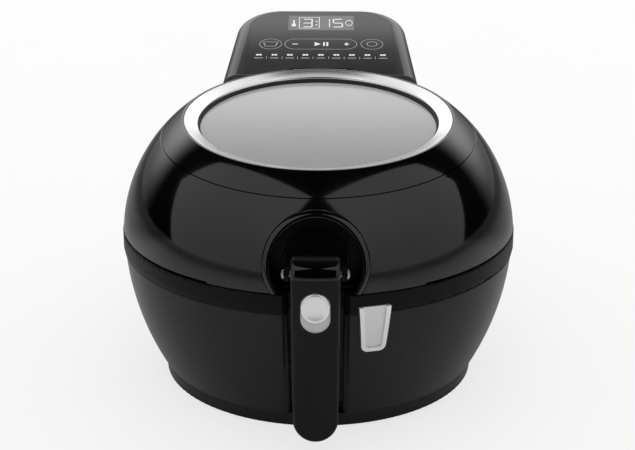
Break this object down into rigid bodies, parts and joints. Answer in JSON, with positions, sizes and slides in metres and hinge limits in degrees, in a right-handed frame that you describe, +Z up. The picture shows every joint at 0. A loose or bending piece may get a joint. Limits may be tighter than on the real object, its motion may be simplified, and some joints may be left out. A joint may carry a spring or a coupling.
{
  "type": "hot-air fryer",
  "caption": "Round hot-air fryer with a hinged window lid, stirring paddle in a non-stick pan, fold-down pan handle, lid release button and a sloping control deck on a rear column",
  "frame": {"origin": "middle of the outline on the table", "axes": "+Z up, front with the handle towards -Y, +X to the right seen from the front"},
  "size_m": [0.3524, 0.474, 0.2712],
  "materials": {
    "gloss_shell": "gloss black moulding",
    "satin_shell": "satin dark moulding",
    "soft_grip": "satin black grip",
    "bright_ring": "bright plated ring",
    "smoked_glass": "smoked clear window",
    "fascia_glass": "black printed glass",
    "silver_button": "silver lacquer",
    "grey_track": "light grey moulding",
    "pan_coating": "dark non-stick coating",
    "bare_steel": "bright steel",
    "seal_rubber": "black silicone",
    "board_green": "circuit board",
    "inner_moulding": "dark grey inner moulding",
    "motor_can": "zinc plated can"
  },
  "bodies": {
    "base": {"plinth": "satin_shell", "bottom_plate": "inner_moulding", "rubber_feet": "seal_rubber", "bottom_screws": "bare_steel", "base_housing": "satin_shell", "rim_band": "satin_shell", "pan_well": "bare_steel", "pan": "pan_coating", "pan_bracket": "soft_grip", "bracket_rivets": "bare_steel", "spindle_seal": "seal_rubber", "gear_motor": "motor_can", "heat_probe": "bare_steel", "control_deck": "gloss_shell", "rear_housing": "satin_shell", "cord_gland": "seal_rubber", "control_fascia": "fascia_glass", "display_lens": "fascia_glass", "display_module": "inner_moulding", "control_board": "board_green", "board_posts": "inner_moulding", "air_cowl": "gloss_shell", "outlet_grille": "bare_steel", "heater": "bare_steel", "fan_housing": "inner_moulding", "fan_motor": "motor_can", "power_board": "board_green", "hinge_bracket": "bare_steel", "hinge_pin": "bare_steel", "latch_spring": "bare_steel", "handle_pin": "bare_steel"},
    "lid": {"lid_shell": "gloss_shell", "lid_crown": "gloss_shell", "lid_ring": "bright_ring", "window_gasket": "seal_rubber", "lid_window": "smoked_glass", "lid_collar": "gloss_shell", "lid_recess": "gloss_shell", "lid_liner": "inner_moulding", "lid_seal": "seal_rubber", "lid_catch": "bare_steel", "lid_hinge_lugs": "inner_moulding"},
    "handle": {"handle_front": "soft_grip", "handle_back": "soft_grip", "handle_screws": "bare_steel", "button_track": "grey_track", "button_spring": "bare_steel"},
    "thumb_button": {"handle_button": "silver_button", "lock_pawl": "bare_steel"},
    "release_button": {"latch_button": "silver_button", "latch_hook": "bare_steel"},
    "stirrer": {"paddle": "inner_moulding", "paddle_knob": "silver_button", "drive_spindle": "bare_steel"},
    "fan": {"fan_wheel": "inner_moulding"}
  },
  "joints": [
    {"name": "lid_hinge", "type": "hinge", "parent": "base", "child": "lid", "pos_m": [0, 0.09655, 0.24], "axis": [-1, 0, 0], "range_deg": [0, 75]},
    {"name": "handle_fold", "type": "hinge", "parent": "base", "child": "handle", "pos_m": [0, -0.21995, 0.162], "axis": [-1, 0, 0], "range_deg": [0, 90]},
    {"name": "thumb_slide", "type": "slide", "parent": "handle", "child": "thumb_button", "axis": [0, 0, -1], "range_m": [0, 0.008], "stiffness_N_per_m": 300, "springref_m": -0.004, "deforming": ["button_spring"]},
    {"name": "release_press", "type": "slide", "parent": "base", "child": "release_button", "axis": [-0.2721, 0.9623, 0], "range_m": [0, 0.0025], "stiffness_N_per_m": 800, "springref_m": -0.002, "deforming": ["latch_spring"]},
    {"name": "paddle_spin", "type": "hinge", "parent": "base", "child": "stirrer", "pos_m": [0, -0.04455, 0.1], "axis": [0, 0, 1], "continuous": true},
    {"name": "fan_spin", "type": "hinge", "parent": "base", "child": "fan", "pos_m": [0, 0.18305, 0.16], "axis": [0, 0, 1], "continuous": true}
  ]
}
